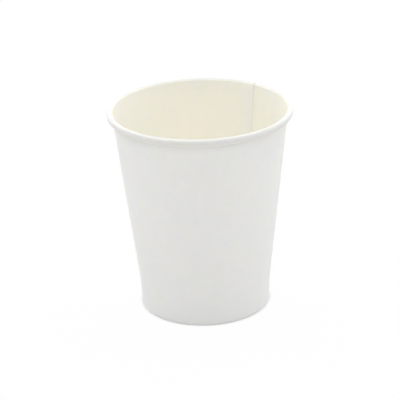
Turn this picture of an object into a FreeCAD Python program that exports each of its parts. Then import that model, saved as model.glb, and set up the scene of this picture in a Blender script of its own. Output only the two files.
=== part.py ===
"""Paper coffee cup, nominal 240 ml, single wall, in two pieces of coated paperboard.

sidewall: one fan-shaped blank rolled into a cone and sealed along a lapped side seam. Its top edge
is curled outward into the rim, and its bottom edge is folded inward and up into a flap.
bottom: one round blank with its edge turned down into a skirt, which the folded foot clamps.

Millimetres. The origin is the centre of the foot, on the plane the cup stands on, and +Z points up.
The side seam is centred on +Y.
"""
import FreeCAD, Part
import math
import os

import Sketcher

SIZES = {
    # overall
    "cup_height": 90.5,
    "rim_diameter": 80.0,
    "foot_diameter": 56.8,
    # paperboard, and the gap for the melted coating that glues two faces together
    "wall_board": 0.33,
    "bottom_board": 0.30,
    "glue_gap": 0.04,
    # rolled rim: an oval curl, taller than it is wide, with its raw edge tucked up inside
    "roll_width": 2.4,
    "roll_height": 3.15,
    "roll_under_angle": 75.0,
    "tuck_inner_radius": 0.06,
    "tuck_angle": 90.0,
    # foot: a band with less taper than the cone, where wall, skirt and flap are pressed together
    "band_height": 10.9,
    "band_taper": 3.0,
    "crease_radius": 12.0,
    "flap_height": 6.5,
    "foot_press": 0.06,
    # side seam: the overlap, and the stretch where the outer ply steps out over the inner one
    "seam_overlap": 7.0,
    "seam_jog": 3.0,
    "seam_direction": 90.0,
    # bottom: from the foot to its underside, its bend, and its raw edge above the fold's centre
    "bottom_recess": 10.0,
    "bottom_bend_radius": 0.7,
    "skirt_lift": 0.3,
    # how far a chord may stray from the arc it walks
    "chord_error": 0.065,
}

# sizes that follow from the driving ones, as formulas on the sheet
RIM_RADIUS = "(Sizes.rim_diameter / 2)"
ROLL_RADIUS = "(Sizes.roll_width / 2)"
TUCK_RADIUS = "(2 * Sizes.wall_board + Sizes.tuck_inner_radius)"
FOLD_INNER_RADIUS = "(Sizes.bottom_board / 2 + Sizes.glue_gap)"
FOLD_OUTER_RADIUS = f"({FOLD_INNER_RADIUS} + Sizes.wall_board)"
FOLD_CENTRE_RADIUS = f"(Sizes.foot_diameter / 2 - {FOLD_OUTER_RADIUS})"
FOLD_CENTRE_HEIGHT = f"({FOLD_OUTER_RADIUS} - Sizes.foot_press)"
OVERLAP_ANGLE = f"(Sizes.seam_overlap / {RIM_RADIUS} * 180 / pi)"
JOG_ANGLE = f"(Sizes.seam_jog / {RIM_RADIUS} * 180 / pi)"

# the sketcher's own numbers for the points of a curve, and for a sketch's origin and upright axis
START, END, CENTRE = range(1, 4)
ORIGIN, UPRIGHT_AXIS = range(-1, -3, -1)
X_AXIS = FreeCAD.Vector(1, 0, 0)
Z_AXIS = FreeCAD.Vector(0, 0, 1)

doc = FreeCAD.newDocument("PaperCup")


def add_sizes():
    """The sheet of driving dimensions."""
    sheet = doc.addObject("Spreadsheet::Sheet", "Sizes")
    for row, (name, value) in enumerate(SIZES.items(), start=1):
        sheet.set(f"A{row}", name)
        sheet.set(f"B{row}", str(value))
        sheet.setAlias(f"B{row}", name)
    doc.recompute()


def leaning(tilt):
    """The directions along and square to a line that leans outward from the vertical by tilt."""
    upward = FreeCAD.Vector(math.sin(tilt), math.cos(tilt))
    outward = FreeCAD.Vector(math.cos(tilt), -math.sin(tilt))
    return upward, outward


def rising_line(start, direction, top):
    """A line from a point along a direction, up to a height."""
    return Part.LineSegment(start, start + direction * ((top - start.y) / direction.y))


def arc(centre, radius, start, end):
    """An arc about a centre, anticlockwise from start to end, in radians."""
    return Part.ArcOfCircle(Part.Circle(centre, Z_AXIS, radius), start, end)


def fold_centre():
    """The centre of the foot's fold in section, which the skirt of the bottom points at."""
    fold_outer = SIZES["bottom_board"] / 2 + SIZES["glue_gap"] + SIZES["wall_board"]
    return FreeCAD.Vector(SIZES["foot_diameter"] / 2 - fold_outer, fold_outer - SIZES["foot_press"])


def new_sketch(name):
    """An upright sketch through the cup's axis."""
    sketch = doc.addObject("Sketcher::SketchObject", name)
    sketch.Placement.Rotation = FreeCAD.Rotation(X_AXIS, 90)
    return sketch


def bind(sketch, kind, elements, value, formula):
    """Adds a dimension to a sketch, at its present value, and ties it to the sheet."""
    index = sketch.addConstraint(Sketcher.Constraint(kind, *elements, value))
    sketch.setExpression(f"Constraints[{index}]", formula)


def bind_point(sketch, curve, place, at, radius, height):
    """Ties a point of a curve to a distance from the cup's axis and a height, both formulas."""
    bind(sketch, "DistanceX", (ORIGIN, START, curve, place), at.x, radius)
    bind(sketch, "DistanceY", (ORIGIN, START, curve, place), at.y, height)


def sheet_path(name):
    """The coated face of the sidewall in section, from the flap's raw edge to the tucked-in one.

    The board lies on the right of this path: towards the axis on the flap, outward on the wall,
    and inside the roll at the rim.
    """
    flap, fold, band, crease, cone, roll_top, roll_side, roll_under, tuck = range(9)

    # foot: the flap, the fold and the band
    band_tilt = math.radians(SIZES["band_taper"])
    upward, outward = leaning(band_tilt)
    fold_at = fold_centre()
    fold_radius = SIZES["bottom_board"] / 2 + SIZES["glue_gap"]
    flap_line = rising_line(fold_at - outward * fold_radius, upward, SIZES["flap_height"])
    band_line = rising_line(fold_at + outward * fold_radius, upward, SIZES["band_height"])
    crease_radius = SIZES["crease_radius"]
    crease_centre = band_line.EndPoint + outward * crease_radius

    # rim: the two centres of the oval, and the tuck inside it
    roll_radius = SIZES["roll_width"] / 2
    roll_at = FreeCAD.Vector(SIZES["rim_diameter"] / 2 - roll_radius, SIZES["cup_height"] - roll_radius)
    roll_drop = SIZES["roll_height"] - SIZES["roll_width"]
    under_at = roll_at - FreeCAD.Vector(0, roll_drop)
    roll_edge = FreeCAD.Vector(roll_radius, 0)
    under_angle = math.radians(SIZES["roll_under_angle"])
    tuck_radius = 2 * SIZES["wall_board"] + SIZES["tuck_inner_radius"]
    tuck_sweep = math.radians(SIZES["tuck_angle"])
    tuck_way = FreeCAD.Vector(math.cos(under_angle), -math.sin(under_angle))
    tuck_at = under_at + tuck_way * (roll_radius - tuck_radius)

    # cone: from the top of the band to where it touches the near side of the roll
    across = roll_at - band_line.EndPoint
    cone_tilt = math.atan2(across.x, across.y) - math.asin(roll_radius / across.Length)
    cone_top = roll_at - leaning(cone_tilt)[1] * roll_radius

    sketch = new_sketch(name)
    sketch.addGeometry([
        flap_line,
        arc(fold_at, fold_radius, math.pi - band_tilt, 2 * math.pi - band_tilt),
        band_line,
        arc(crease_centre, crease_radius, math.pi - cone_tilt, math.pi - band_tilt),
        Part.LineSegment(band_line.EndPoint, cone_top),
        arc(roll_at, roll_radius, 0, math.pi - cone_tilt),
        Part.LineSegment(roll_at + roll_edge, under_at + roll_edge),
        arc(under_at, roll_radius, -under_angle, 0),
        arc(tuck_at, tuck_radius, -under_angle - tuck_sweep, -under_angle),
    ])

    # each stretch runs smoothly into the next
    for joint in (
        (flap, START, fold, START),
        (fold, END, band, START),
        (band, END, crease, END),
        (crease, START, cone, START),
        (cone, END, roll_top, END),
        (roll_top, START, roll_side, START),
        (roll_side, END, roll_under, END),
        (roll_under, START, tuck, END),
    ):
        sketch.addConstraint(Sketcher.Constraint("Tangent", *joint))

    bind_point(sketch, fold, CENTRE, fold_at, FOLD_CENTRE_RADIUS, FOLD_CENTRE_HEIGHT)
    bind(sketch, "Radius", (fold,), fold_radius, FOLD_INNER_RADIUS)
    bind(sketch, "Angle", (band,), math.pi / 2 - band_tilt, "90 - Sizes.band_taper")
    sketch.addConstraint(Sketcher.Constraint("Parallel", flap, band))
    bind(sketch, "DistanceY", (ORIGIN, START, flap, END), SIZES["flap_height"], "Sizes.flap_height")
    bind(sketch, "DistanceY", (ORIGIN, START, band, END), SIZES["band_height"], "Sizes.band_height")
    bind(sketch, "Radius", (crease,), crease_radius, "Sizes.crease_radius")

    roll_height = f"Sizes.cup_height - {ROLL_RADIUS}"
    bind_point(sketch, roll_top, CENTRE, roll_at, f"{RIM_RADIUS} - {ROLL_RADIUS}", roll_height)
    bind(sketch, "Radius", (roll_top,), roll_radius, ROLL_RADIUS)
    sketch.addConstraint(Sketcher.Constraint("Equal", roll_top, roll_under))
    sketch.addConstraint(Sketcher.Constraint("Vertical", roll_side))
    bind(sketch, "Distance", (roll_side,), roll_drop, "Sizes.roll_height - Sizes.roll_width")
    bind(sketch, "Angle", (roll_under,), under_angle, "Sizes.roll_under_angle")
    bind(sketch, "Radius", (tuck,), tuck_radius, TUCK_RADIUS)
    bind(sketch, "Angle", (tuck,), tuck_sweep, "Sizes.tuck_angle")
    return sketch


def bottom_path(name):
    """The outer face of the skirt and the upper face of the disc, from the raw edge to the axis."""
    skirt, bend, disc, fold = range(4)
    board = SIZES["bottom_board"]
    tilt = math.radians(SIZES["band_taper"])
    upward, outward = leaning(tilt)
    fold_at = fold_centre()
    raw_height = fold_at.y + SIZES["skirt_lift"]
    disc_height = SIZES["bottom_recess"] + board
    bend_radius = SIZES["bottom_bend_radius"]
    bend_height = disc_height - bend_radius

    # the skirt lies in the middle of the fold, half of its board on each side of the centre line
    face = fold_at + outward * (board / 2)
    raw_edge = rising_line(face, upward, raw_height).EndPoint
    skirt_line = rising_line(raw_edge, upward, bend_height + outward.y * bend_radius)
    bend_centre = skirt_line.EndPoint - outward * bend_radius

    sketch = new_sketch(name)
    sketch.addGeometry([
        skirt_line,
        arc(bend_centre, bend_radius, -tilt, math.pi / 2),
        Part.LineSegment(FreeCAD.Vector(bend_centre.x, disc_height), FreeCAD.Vector(0, disc_height)),
    ])
    sketch.addGeometry(Part.Point(fold_at), True)

    sketch.addConstraint(Sketcher.Constraint("Tangent", skirt, END, bend, START))
    sketch.addConstraint(Sketcher.Constraint("Tangent", bend, END, disc, START))
    sketch.addConstraint(Sketcher.Constraint("Horizontal", disc))
    sketch.addConstraint(Sketcher.Constraint("PointOnObject", disc, END, UPRIGHT_AXIS))

    raw_formula = f"{FOLD_CENTRE_HEIGHT} + Sizes.skirt_lift"
    disc_formula = "Sizes.bottom_recess + Sizes.bottom_board"
    bind_point(sketch, fold, START, fold_at, FOLD_CENTRE_RADIUS, FOLD_CENTRE_HEIGHT)
    bind(sketch, "Distance", (fold, START, skirt), board / 2, "Sizes.bottom_board / 2")
    bind(sketch, "Angle", (skirt,), math.pi / 2 - tilt, "90 - Sizes.band_taper")
    bind(sketch, "DistanceY", (ORIGIN, START, skirt, START), raw_height, raw_formula)
    bind(sketch, "Radius", (bend,), bend_radius, "Sizes.bottom_bend_radius")
    bind(sketch, "DistanceY", (ORIGIN, START, disc, START), disc_height, disc_formula)
    return sketch


def walk_in_chords(name, path):
    """A path with its arcs walked in short chords, so that each ring of the cup is a plain cone."""
    doc.recompute()
    points = []
    for edge in path.Shape.Wires[0].OrderedEdges:
        run = edge.discretize(QuasiDeflection=SIZES["chord_error"])
        if edge.Orientation == "Reversed":
            run.reverse()
        points += run[1:] if points else run
    walked = doc.addObject("Part::Feature", name)
    walked.Shape = Part.makePolygon(points)
    return walked


def offset_line(name, path, board):
    """The line one board's thickness to the right of a path."""
    offset = doc.addObject("Part::Offset2D", name)
    offset.Source = path
    offset.Mode = "Skin"
    offset.Join = "Intersection"
    offset.setExpression("Value", board)
    return offset


def board_strip(name, path, board):
    """A board in section: the face between a path and the line to the right of it."""
    strip = offset_line(name, path, board)
    strip.Fill = True
    return strip


def turned(name, section, angle):
    """A section turned about the cup's axis from its own plane, by a formula in degrees."""
    solid = doc.addObject("Part::Revolution", name)
    solid.Source = section
    solid.Axis = Z_AXIS
    solid.Solid = True
    solid.setExpression("Angle", angle)
    return solid


def build_sidewall():
    """The rolled blank, sealed over itself at the side seam.

    One ply runs nearly all round. Where its two ends meet, the far end jogs outward by its own
    thickness and lies over the near one, so the inner ply's raw edge is a step inside the cup and
    across the rim, and the outer ply's raw edge is a step outside it.
    """
    board = "Sizes.wall_board"
    path = walk_in_chords("WallChords", sheet_path("WallPath"))
    inner_section = board_strip("InnerPlySection", path, board)
    outer_section = board_strip("OuterPlySection", offset_line("OuterPlyPath", path, board), board)
    jog_section = board_strip("JogSection", path, board)
    jog_section.setExpression("Placement.Rotation", f"rotationz(-{JOG_ANGLE})")

    blank = turned("Blank", inner_section, f"360 - {JOG_ANGLE}")
    outer_ply = turned("OuterPly", outer_section, OVERLAP_ANGLE)
    jog = doc.addObject("Part::Loft", "Jog")
    jog.Sections = [jog_section, outer_section]
    jog.Solid = True
    jog.Ruled = True
    wall = doc.addObject("Part::MultiFuse", "Wall")
    wall.Shapes = [blank, jog, outer_ply]

    # the fold is pressed flat where the cup stands, with its doubled stretch at the seam
    press_depth = "(Sizes.foot_press + 2 * Sizes.wall_board)"
    press = doc.addObject("Part::Cylinder", "FootPress")
    press.setExpression("Radius", "Sizes.foot_diameter")
    press.setExpression("Height", press_depth)
    press.setExpression("Placement.Base.z", f"-{press_depth}")

    sidewall = doc.addObject("Part::Cut", "Sidewall")
    sidewall.Label = "sidewall"
    sidewall.Base = wall
    sidewall.Tool = press
    sidewall.setExpression("Placement.Rotation", f"rotationz(Sizes.seam_direction - {OVERLAP_ANGLE} / 2)")
    return sidewall


def build_bottom():
    """The disc and its down-turned skirt."""
    path = walk_in_chords("BottomChords", bottom_path("BottomPath"))
    bottom = turned("Bottom", board_strip("BottomSection", path, "Sizes.bottom_board"), "360")
    bottom.Label = "bottom"
    return bottom


def check(pieces):
    """Stops if any object of the document failed, or if a piece isn't one valid solid."""
    for item in doc.Objects:
        if "Invalid" in item.State or "Error" in item.State:
            raise RuntimeError(f"{item.Name} failed: {item.getStatusString()}")
    for piece in pieces:
        shape = piece.Shape
        if shape.isNull() or not shape.isValid() or len(shape.Solids) != 1:
            raise RuntimeError(f"{piece.Label} isn't one valid solid")


add_sizes()
pieces = [build_sidewall(), build_bottom()]
doc.recompute()
check(pieces)

os.makedirs("parts", exist_ok=True)
for piece in pieces:
    piece.Shape.exportStep(f"parts/{piece.Label}.step")
    print(piece.Label, "volume", round(piece.Shape.Volume, 2), "mm3")
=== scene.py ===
"""The look of the paper cup: finer paperboard around the CAD frame, a pale floor, soft light and a camera.

The cup's sections are in millimetres and repeat the CAD's sizes. Everything else is in metres.
"""
import math

import bpy
import numpy as np
from mathutils import Matrix, Vector


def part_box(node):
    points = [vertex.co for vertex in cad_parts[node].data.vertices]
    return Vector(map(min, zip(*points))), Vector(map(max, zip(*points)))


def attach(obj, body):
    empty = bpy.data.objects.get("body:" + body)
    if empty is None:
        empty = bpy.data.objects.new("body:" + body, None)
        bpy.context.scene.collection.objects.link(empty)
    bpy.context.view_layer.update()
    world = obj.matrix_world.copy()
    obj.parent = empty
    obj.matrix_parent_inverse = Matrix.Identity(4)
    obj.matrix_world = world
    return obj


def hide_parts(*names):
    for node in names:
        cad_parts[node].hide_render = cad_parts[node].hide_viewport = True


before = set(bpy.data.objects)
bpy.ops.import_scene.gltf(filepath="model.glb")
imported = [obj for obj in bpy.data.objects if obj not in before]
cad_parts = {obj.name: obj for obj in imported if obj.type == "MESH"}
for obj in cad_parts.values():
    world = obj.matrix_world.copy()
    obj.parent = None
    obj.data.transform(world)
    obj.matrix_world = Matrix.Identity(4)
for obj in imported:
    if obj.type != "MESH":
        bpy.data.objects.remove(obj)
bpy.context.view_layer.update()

MM = 0.001

# the cup in section
WALL_BOARD = 0.33
BOTTOM_BOARD = 0.30
GLUE_GAP = 0.04
FOOT_DIAMETER = 56.8
BAND_HEIGHT = 10.9
BAND_TAPER = math.radians(3.0)
CREASE_RADIUS = 12.0
FLAP_HEIGHT = 6.5
FOOT_PRESS = 0.06
ROLL_WIDTH = 2.4
ROLL_HEIGHT = 3.15
ROLL_UNDER = math.radians(75.0)
TUCK_INNER_RADIUS = 0.06
TUCK_SWEEP = math.radians(90.0)
BOTTOM_RECESS = 10.0
BOTTOM_BEND = 0.7
SKIRT_LIFT = 0.3

# the lapped seam, where the sheet's far end rises over its near end
SEAM_OVERLAP = 7.0
SEAM_JOG = 3.0
SEAM_DIRECTION = 90.0
SEAM_CLEARANCE = 0.006

# ribs that the machine's tool rolls into the inside of the foot
RIB_DEPTH = 0.05
RIB_FOOT = 1.2
RIB_TOP = 5.8
RIB_FADE = 0.8

# columns of faces round the cup: the plain turn, the jog, the lap, and those that one rib takes
PLAIN_COLUMNS = 396
JOG_COLUMNS = 8
LAP_COLUMNS = 12
RIB_COLUMNS = 4
BOTTOM_COLUMNS = 192

# rows of points along each stretch of the sections, both its ends counted
WALL_ROWS = {
    "flap": 9,
    "fold": 11,
    "band": 8,
    "crease": 4,
    "cone": 26,
    "mouth": 5,
    "crest": 5,
    "roll": 8,
    "roll_side": 3,
    "roll_edge": 3,
    "roll_under": 5,
    "tuck": 8,
}
BOTTOM_ROWS = {"skirt": 5, "bend": 8, "disc": 16}
CENTRE_RADIUS = 0.6

# the CAD box settles the overall size, so the finer pieces stay inside it
low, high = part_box("sidewall")
CUP_HEIGHT = high.z / MM
RIM_RADIUS = min(-low.x, -low.y, high.x, high.y) / MM

FACE_COATED, FACE_ROLL_SHADE, FACE_BOARD, FACE_EDGE = range(4)
SHARP_ANGLE = math.radians(35)

# how far round the roll, from its outer side, the inside's cream tone ends above and starts again beneath;
# between these the roll's crest and outer side take painted shade, a darker copy of the coated board that
# keeps the lamp-lit crest from reading too bright
ROLL_SHADE_START = math.radians(135.0)
ROLL_SHADE_END = math.radians(25.0)


# the sections of the two sheets

def unit(angle):
    """The direction at an angle in a section, as (outward, up)."""
    return np.array([math.cos(angle), math.sin(angle)])


def line_rows(start, end, count):
    """Points along a straight stretch of a section, with the direction square to it on its right."""
    along = (end - start) / np.linalg.norm(end - start)
    right = np.array([along[1], -along[0]])
    return [(start + (end - start) * t, right) for t in np.linspace(0, 1, count)]


def arc_rows(centre, radius, start, end, count):
    """Points along an arc of a section, with the direction square to it on its right."""
    side = 1.0 if end > start else -1.0
    return [(centre + radius * unit(a), side * unit(a)) for a in np.linspace(start, end, count)]


def joined(stretches):
    """All rows of stretches that follow on from one another, with each shared end kept once."""
    rows = list(stretches[0])
    for stretch in stretches[1:]:
        rows += stretch[1:]
    return rows


# the fold at the foot, and the lean of the foot band, which the flap and the bottom's skirt share
FOLD_RADIUS = BOTTOM_BOARD / 2 + GLUE_GAP
FOLD_OUTER = FOLD_RADIUS + WALL_BOARD
FOLD_AT = np.array([FOOT_DIAMETER / 2 - FOLD_OUTER, FOLD_OUTER - FOOT_PRESS])
UPWARD = np.array([math.sin(BAND_TAPER), math.cos(BAND_TAPER)])
OUTWARD = np.array([math.cos(BAND_TAPER), -math.sin(BAND_TAPER)])


def rising(start, top):
    """The point where a line that leans as the foot band does reaches a height."""
    return start + UPWARD * ((top - start[1]) / UPWARD[1])


def sheet_rows():
    """The wall's coated face in section, in three runs: up to the rim, round the roll, and beneath it."""
    rows = WALL_ROWS
    flap_foot = FOLD_AT - OUTWARD * FOLD_RADIUS
    flap_top = rising(flap_foot, FLAP_HEIGHT)
    band_foot = FOLD_AT + OUTWARD * FOLD_RADIUS
    band_top = rising(band_foot, BAND_HEIGHT)
    crease_at = band_top + OUTWARD * CREASE_RADIUS

    roll_radius = ROLL_WIDTH / 2
    roll_at = np.array([RIM_RADIUS - roll_radius, CUP_HEIGHT - roll_radius])
    under_at = roll_at - np.array([0.0, ROLL_HEIGHT - ROLL_WIDTH])
    tuck_radius = 2 * WALL_BOARD + TUCK_INNER_RADIUS
    tuck_at = under_at + unit(-ROLL_UNDER) * (roll_radius - tuck_radius)

    # the cone touches the crease's arc and the roll's arc, both on its right
    across = roll_at - crease_at
    touch = math.asin((roll_radius - CREASE_RADIUS) / np.linalg.norm(across))
    tilt = math.atan2(across[0], across[1]) - touch
    cone_foot = crease_at + CREASE_RADIUS * unit(math.pi - tilt)
    cone_top = roll_at + roll_radius * unit(math.pi - tilt)
    roll_edge = np.array([roll_radius, 0.0])

    inside = [
        line_rows(flap_top, flap_foot, rows["flap"]),
        arc_rows(FOLD_AT, FOLD_RADIUS, math.pi - BAND_TAPER, 2 * math.pi - BAND_TAPER, rows["fold"]),
        line_rows(band_foot, band_top, rows["band"]),
        arc_rows(crease_at, CREASE_RADIUS, math.pi - BAND_TAPER, math.pi - tilt, rows["crease"]),
        line_rows(cone_foot, cone_top, rows["cone"]),
        arc_rows(roll_at, roll_radius, math.pi - tilt, ROLL_SHADE_START, rows["mouth"]),
    ]
    # the roll's crest and outer side, which carry the painted shade
    roll = [
        arc_rows(roll_at, roll_radius, ROLL_SHADE_START, math.pi / 2, rows["crest"]),
        arc_rows(roll_at, roll_radius, math.pi / 2, 0, rows["roll"]),
        line_rows(roll_at + roll_edge, under_at + roll_edge, rows["roll_side"]),
        arc_rows(under_at, roll_radius, 0, -ROLL_SHADE_END, rows["roll_edge"]),
    ]
    beneath = [
        arc_rows(under_at, roll_radius, -ROLL_SHADE_END, -ROLL_UNDER, rows["roll_under"]),
        arc_rows(tuck_at, tuck_radius, -ROLL_UNDER, -ROLL_UNDER - TUCK_SWEEP, rows["tuck"]),
    ]
    return joined(inside), joined(roll), joined(beneath)


def bottom_rows():
    """The coated face of the bottom in section, from the skirt's raw edge nearly to the cup's axis."""
    disc_height = BOTTOM_RECESS + BOTTOM_BOARD
    raw_edge = rising(FOLD_AT + OUTWARD * (BOTTOM_BOARD / 2), FOLD_AT[1] + SKIRT_LIFT)
    skirt_top = rising(raw_edge, disc_height - BOTTOM_BEND + OUTWARD[1] * BOTTOM_BEND)
    bend_at = skirt_top - OUTWARD * BOTTOM_BEND
    disc_edge = np.array([bend_at[0], disc_height])
    near_axis = np.array([CENTRE_RADIUS, disc_height])
    rows = joined([
        line_rows(raw_edge, skirt_top, BOTTOM_ROWS["skirt"]),
        arc_rows(bend_at, BOTTOM_BEND, -BAND_TAPER, math.pi / 2, BOTTOM_ROWS["bend"]),
        line_rows(disc_edge, near_axis, BOTTOM_ROWS["disc"]),
    ])
    # the board lies on the left of this line
    return [(at, -right) for at, right in rows]


# the pieces

def add_piece(name, points, faces, slots, materials):
    """A mesh object from points in millimetres, with one material slot number for each face."""
    mesh = bpy.data.meshes.new(name)
    mesh.from_pydata([tuple(point) for point in points * MM], [], faces)
    for material in materials:
        mesh.materials.append(material)
    mesh.polygons.foreach_set("material_index", slots)
    mesh.polygons.foreach_set("use_smooth", [True] * len(faces))
    mesh.set_sharp_from_angle(angle=SHARP_ANGLE)
    mesh.update()
    piece = bpy.data.objects.new(name, mesh)
    bpy.context.scene.collection.objects.link(piece)
    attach(piece, "root")
    return piece


def directions(angles):
    """The directions round the axis at some angles, one (x, y) in each row."""
    return np.stack([np.cos(angles), np.sin(angles)], axis=1)


def turned(section, across):
    """One ring of points round the cup, from its (radius, height) and the directions round the axis."""
    section = np.broadcast_to(section, (len(across), 2))
    return np.column_stack([across * section[:, :1], section[:, 1]])


def build_sidewall(materials):
    """The whole blank as one sheet with a thickness, wound once round and lapped over its own start."""
    inside, roll, beneath = sheet_rows()
    rows = joined([inside, roll, beneath])
    row_slots = [FACE_COATED] * (len(inside) - 1)
    # the roll's crest and outer side take painted shade: the coated board made darker there
    row_slots += [FACE_ROLL_SHADE] * (len(roll) - 1)
    row_slots += [FACE_COATED] * (len(beneath) - 1)
    overlap = math.degrees(SEAM_OVERLAP / RIM_RADIUS)
    jog = math.degrees(SEAM_JOG / RIM_RADIUS)
    column_turn = (360 - jog) / PLAIN_COLUMNS
    turns = np.concatenate([
        np.linspace(0, 360 - jog, PLAIN_COLUMNS, endpoint=False),
        np.linspace(360 - jog, 360, JOG_COLUMNS, endpoint=False),
        np.linspace(360, 360 + overlap, LAP_COLUMNS),
    ])
    across = directions(np.radians(SEAM_DIRECTION - overlap / 2 + turns))

    # how far the sheet lies outside its own start, rising smoothly within the jog
    step = np.clip((turns - 360 + jog) / jog, 0, 1)
    lift = (WALL_BOARD + SEAM_CLEARANCE) * step * step * (3 - 2 * step)

    # how thick the boards are together, also where the near end has the far one over it
    under_lap = turns < overlap + column_turn
    pile = np.where(under_lap, 2 * WALL_BOARD + SEAM_CLEARANCE, lift + WALL_BOARD)

    rib_turn = RIB_COLUMNS * column_turn
    ribs = RIB_DEPTH * (1 - np.cos(2 * math.pi * turns / rib_turn)) / 2

    coated_rings, board_rings = [], []
    for number, (at, right) in enumerate(rows):
        inner = lift
        outer = lift + WALL_BOARD
        if number < WALL_ROWS["flap"]:
            above_foot = np.clip((at[1] - RIB_FOOT) / RIB_FADE, 0, 1)
            below_top = np.clip((RIB_TOP - at[1]) / RIB_FADE, 0, 1)
            outer = outer - ribs * above_foot * below_top
        if at[1] < FOLD_AT[1] and right[1] < 0:
            # the doubled fold is pressed flat where the cup stands
            room = FOLD_AT[1] / -right[1] - FOLD_RADIUS
            squeeze = np.minimum(1.0, room / pile)
            inner = inner * squeeze
            outer = outer * squeeze
        coated_rings.append(turned(at + np.outer(inner, right), across))
        board_rings.append(turned(at + np.outer(outer, right), across))

    ring = len(turns)
    far = len(rows) * ring
    last_row = far - ring
    faces, slots = [], []
    for row, slot in zip(range(0, last_row, ring), row_slots):
        for turn in range(ring - 1):
            a = row + turn
            b, c, d = a + 1, a + 1 + ring, a + ring
            faces += [(a, d, c, b), (a + far, b + far, c + far, d + far)]
            slots += [slot, FACE_BOARD]
        end = row + ring - 1
        faces.append((row, row + far, row + ring + far, row + ring))
        faces.append((end, end + ring, end + ring + far, end + far))
        slots += [FACE_EDGE] * 2
    for turn in range(ring - 1):
        last = last_row + turn
        faces.append((turn, turn + 1, turn + 1 + far, turn + far))
        faces.append((last, last + far, last + 1 + far, last + 1))
        slots += [FACE_EDGE] * 2
    points = np.concatenate(coated_rings + board_rings)
    return add_piece("paper_sidewall", points, faces, slots, materials)


def build_bottom(materials):
    """The disc and its down-turned skirt, as one closed sheet turned about the axis."""
    rows = bottom_rows()
    across = directions(np.linspace(0, 2 * math.pi, BOTTOM_COLUMNS, endpoint=False))
    coated_rings = [turned(at, across) for at, _ in rows]
    board_rings = [turned(at + right * BOTTOM_BOARD, across) for at, right in rows]
    centres = np.array([[0.0, 0.0, BOTTOM_RECESS + BOTTOM_BOARD], [0.0, 0.0, BOTTOM_RECESS]])

    far = len(rows) * BOTTOM_COLUMNS
    last_row = far - BOTTOM_COLUMNS
    top_centre, under_centre = 2 * far, 2 * far + 1
    faces, slots = [], []
    for turn in range(BOTTOM_COLUMNS):
        following = (turn + 1) % BOTTOM_COLUMNS
        for row in range(0, last_row, BOTTOM_COLUMNS):
            a, b = row + turn, row + following
            c, d = b + BOTTOM_COLUMNS, a + BOTTOM_COLUMNS
            faces += [(a, b, c, d), (a + far, d + far, c + far, b + far)]
            slots += [FACE_COATED, FACE_BOARD]
        faces.append((turn, turn + far, following + far, following))
        faces.append((last_row + turn, last_row + following, top_centre))
        faces.append((last_row + following + far, last_row + turn + far, under_centre))
        slots += [FACE_EDGE, FACE_COATED, FACE_BOARD]
    points = np.concatenate(coated_rings + board_rings + [centres])
    return add_piece("paper_bottom", points, faces, slots, materials)


# the materials

# light passes through thin board, red more than blue, which is why the inside glows a little cream
GLOW_RADIUS = (1.0, 0.92, 0.74)
GLOW_DEPTH = 0.0002

# the cloudy tone, and the fibres, which are three times as long up the wall as they are round it
CLOUD_SCALE = 260
CLOUD_DETAIL = 5
CLOUD_ROUGHNESS = 0.62
CLOUD_RANGE = (0.3, 0.7)
FIBRE_STRETCH = (1, 1, 0.3)
FIBRE_DETAIL = 4
FIBRE_ROUGHNESS = 0.6
BUMP_STRENGTH = 0.5
POLISH_RANGE = 0.07


def paper(name, pale, dark, roughness, relief, fibre_size):
    """Paperboard: a faint cloudy tone, fibres along the grain, and a relief and a gloss that follow them."""
    material = bpy.data.materials.new(name)
    material.use_nodes = True
    nodes, links = material.node_tree.nodes, material.node_tree.links
    shader = nodes["Principled BSDF"]
    where = nodes.new("ShaderNodeTexCoord")

    cloud = nodes.new("ShaderNodeTexNoise")
    cloud.inputs["Scale"].default_value = CLOUD_SCALE
    cloud.inputs["Detail"].default_value = CLOUD_DETAIL
    cloud.inputs["Roughness"].default_value = CLOUD_ROUGHNESS
    links.new(where.outputs["Object"], cloud.inputs["Vector"])
    tone = nodes.new("ShaderNodeValToRGB")
    for element, place, colour in zip(tone.color_ramp.elements, CLOUD_RANGE, (dark, pale)):
        element.position = place
        element.color = (*colour, 1)
    links.new(cloud.outputs["Fac"], tone.inputs["Fac"])
    links.new(tone.outputs["Color"], shader.inputs["Base Color"])

    stretch = nodes.new("ShaderNodeMapping")
    stretch.inputs["Scale"].default_value = FIBRE_STRETCH
    links.new(where.outputs["Object"], stretch.inputs["Vector"])
    fibre = nodes.new("ShaderNodeTexNoise")
    fibre.inputs["Scale"].default_value = 1 / fibre_size
    fibre.inputs["Detail"].default_value = FIBRE_DETAIL
    fibre.inputs["Roughness"].default_value = FIBRE_ROUGHNESS
    links.new(stretch.outputs["Vector"], fibre.inputs["Vector"])
    bump = nodes.new("ShaderNodeBump")
    bump.inputs["Distance"].default_value = relief
    bump.inputs["Strength"].default_value = BUMP_STRENGTH
    links.new(fibre.outputs["Fac"], bump.inputs["Height"])
    links.new(bump.outputs["Normal"], shader.inputs["Normal"])

    polish = nodes.new("ShaderNodeMapRange")
    polish.inputs["To Min"].default_value = roughness - POLISH_RANGE
    polish.inputs["To Max"].default_value = roughness + POLISH_RANGE
    links.new(fibre.outputs["Fac"], polish.inputs["Value"])
    links.new(polish.outputs["Result"], shader.inputs["Roughness"])

    shader.inputs["Subsurface Weight"].default_value = 1.0
    shader.inputs["Subsurface Radius"].default_value = GLOW_RADIUS
    shader.inputs["Subsurface Scale"].default_value = GLOW_DEPTH
    return material


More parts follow.
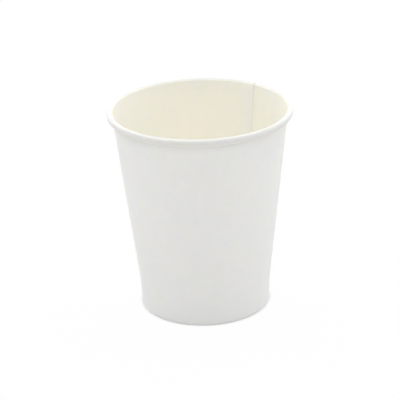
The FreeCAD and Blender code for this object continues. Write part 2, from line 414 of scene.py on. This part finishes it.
coated = paper(
    "coated_board", pale=(0.92, 0.905, 0.838), dark=(0.91, 0.894, 0.825),
    roughness=0.6, relief=0.00002, fibre_size=0.0008)
# painted shade: the coated board again, made darker for the roll's crest and outer side so the crest, lit
# from above, does not read too bright
roll_shade = paper(
    "roll_painted_shade_board", pale=(0.80, 0.795, 0.776), dark=(0.785, 0.779, 0.758),
    roughness=0.62, relief=0.00002, fibre_size=0.0006)
bare = paper(
    "bare_board", pale=(0.858, 0.86, 0.848), dark=(0.84, 0.842, 0.829),
    roughness=0.68, relief=0.00003, fibre_size=0.00035)
cut = paper(
    "cut_edge", pale=(0.90, 0.885, 0.83), dark=(0.86, 0.84, 0.775),
    roughness=0.85, relief=0.00004, fibre_size=0.00015)
boards = [coated, roll_shade, bare, cut]

sidewall = build_sidewall(boards)
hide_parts("sidewall")
bottom = build_bottom(boards)
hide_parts("bottom")


# the camera, fitted to the photograph's outline

TARGET = Vector((0, 0, 0.04525))
CAMERA_TURN = math.radians(35.0)
CAMERA_RISE = 23.23
CAMERA_ROLL = math.radians(-1.85)
CAMERA_DISTANCE = 0.7479
SENSOR_WIDTH = 36
FOCAL_PIXELS = 1700.0
PICTURE_SIDE = 400.0
OFFSET_PIXELS = (2.93, 4.02)
NEAREST = 0.01
FARTHEST = 20


def around(turn, rise, distance):
    """A point at degrees round from the camera's bearing and up, at a distance from the cup's middle."""
    bearing = CAMERA_TURN + math.radians(turn)
    rise = math.radians(rise)
    way = Vector((math.sin(bearing) * math.cos(rise), -math.cos(bearing) * math.cos(rise), math.sin(rise)))
    return TARGET + way * distance


def facing_cup(place):
    """The rotation of a camera or lamp that looks from a place at the cup's middle."""
    return (TARGET - place).to_track_quat("-Z", "Y").to_matrix()


camera_data = bpy.data.cameras.new("camera")
camera_data.sensor_fit = "HORIZONTAL"
camera_data.sensor_width = SENSOR_WIDTH
camera_data.lens = SENSOR_WIDTH * FOCAL_PIXELS / PICTURE_SIDE
camera_data.shift_x = -OFFSET_PIXELS[0] / PICTURE_SIDE
camera_data.shift_y = OFFSET_PIXELS[1] / PICTURE_SIDE
camera_data.clip_start = NEAREST
camera_data.clip_end = FARTHEST
camera = bpy.data.objects.new("camera", camera_data)
bpy.context.scene.collection.objects.link(camera)
camera.location = around(0, CAMERA_RISE, CAMERA_DISTANCE)
camera.rotation_euler = (facing_cup(camera.location) @ Matrix.Rotation(CAMERA_ROLL, 3, "Z")).to_euler()
bpy.context.scene.camera = camera


# the floor and the light

FLOOR_SIDE = 6.0
FLOOR_DROP = 0.00005
FLOOR_COLOUR = (0.78, 0.78, 0.78, 1)
FLOOR_ROUGHNESS = 0.9
FLOOR_SEEN_WHITE = 0.95
CONTACT_REACH = 0.0015
CONTACT_POWER = 2
WORLD_STRENGTH = 0.39
WORLD_SEEN_WHITE = 1.0
LAMP_DISTANCE = 1.2
LAMP_SIZE = 0.8

# each lamp's name, degrees round from the camera and up, and power in watts
LAMPS = [
    ("front_box", 0, 40, 4.3),
    ("left_box", -90, 55, 2.8),
    ("right_box", 90, 55, 2.9),
    ("left_low_box", -90, 12, 1.2),
    ("right_low_box", 90, 12, 1.4),
    ("left_back_box", -135, 20, 3.6),
    ("right_back_box", 135, 20, 3.6),
    ("back_box", 180, 58, 3.7),
]


def combined(tree, operation, first, second):
    """The output of a Math node on two sockets, or on a socket and a number."""
    node = tree.nodes.new("ShaderNodeMath")
    node.operation = operation
    tree.links.new(first, node.inputs[0])
    if isinstance(second, (int, float)):
        node.inputs[1].default_value = second
    else:
        tree.links.new(second, node.inputs[1])
    return node.outputs["Value"]


def see_white(tree, shaded, share_white, contact_reach=None):
    """Mixes what is seen, mirrored or looked through towards white, and leaves all other light as it is.

    With a reach, a surface keeps its own shade where something stands on it or nearly touches it.
    """
    path = tree.nodes.new("ShaderNodeLightPath")
    mirrored = combined(tree, "MAXIMUM", path.outputs["Is Camera Ray"], path.outputs["Is Glossy Ray"])
    seen = combined(tree, "MAXIMUM", mirrored, path.outputs["Is Transmission Ray"])
    share = combined(tree, "MULTIPLY", seen, share_white)
    if contact_reach:
        openness = tree.nodes.new("ShaderNodeAmbientOcclusion")
        openness.inputs["Distance"].default_value = contact_reach
        sharpened = combined(tree, "POWER", openness.outputs["AO"], CONTACT_POWER)
        share = combined(tree, "MULTIPLY", share, sharpened)
    white = tree.nodes.new("ShaderNodeEmission")
    mix = tree.nodes.new("ShaderNodeMixShader")
    tree.links.new(share, mix.inputs["Fac"])
    tree.links.new(shaded, mix.inputs[1])
    tree.links.new(white.outputs["Emission"], mix.inputs[2])
    return mix.outputs["Shader"]


corners = [(-1, -1), (1, -1), (1, 1), (-1, 1)]
floor_points = [(x * FLOOR_SIDE, y * FLOOR_SIDE, -FLOOR_DROP) for x, y in corners]
floor_mesh = bpy.data.meshes.new("floor")
floor_mesh.from_pydata(floor_points, [], [(0, 1, 2, 3)])
floor = bpy.data.objects.new("floor", floor_mesh)
bpy.context.scene.collection.objects.link(floor)
floor_paint = bpy.data.materials.new("floor_paint")
floor_paint.use_nodes = True
floor_tree = floor_paint.node_tree
floor_shader = floor_tree.nodes["Principled BSDF"]
floor_shader.inputs["Base Color"].default_value = FLOOR_COLOUR
floor_shader.inputs["Roughness"].default_value = FLOOR_ROUGHNESS
floor_look = see_white(floor_tree, floor_shader.outputs["BSDF"], FLOOR_SEEN_WHITE, CONTACT_REACH)
floor_tree.links.new(floor_look, floor_tree.nodes["Material Output"].inputs["Surface"])
floor_mesh.materials.append(floor_paint)

world = bpy.data.worlds.new("studio")
bpy.context.scene.world = world
world.use_nodes = True
world_tree = world.node_tree
sky = world_tree.nodes["Background"]
sky.inputs["Color"].default_value = (1, 1, 1, 1)
sky.inputs["Strength"].default_value = WORLD_STRENGTH
world_look = see_white(world_tree, sky.outputs["Background"], WORLD_SEEN_WHITE)
world_tree.links.new(world_look, world_tree.nodes["World Output"].inputs["Surface"])

for name, turn, rise, power in LAMPS:
    lamp_data = bpy.data.lights.new(name, "AREA")
    lamp_data.shape = "SQUARE"
    lamp_data.size = LAMP_SIZE
    lamp_data.energy = power
    lamp = bpy.data.objects.new(name, lamp_data)
    bpy.context.scene.collection.objects.link(lamp)
    lamp.location = around(turn, rise, LAMP_DISTANCE)
    lamp.rotation_euler = facing_cup(lamp.location).to_euler()

bpy.context.scene.view_settings.view_transform = "Standard"
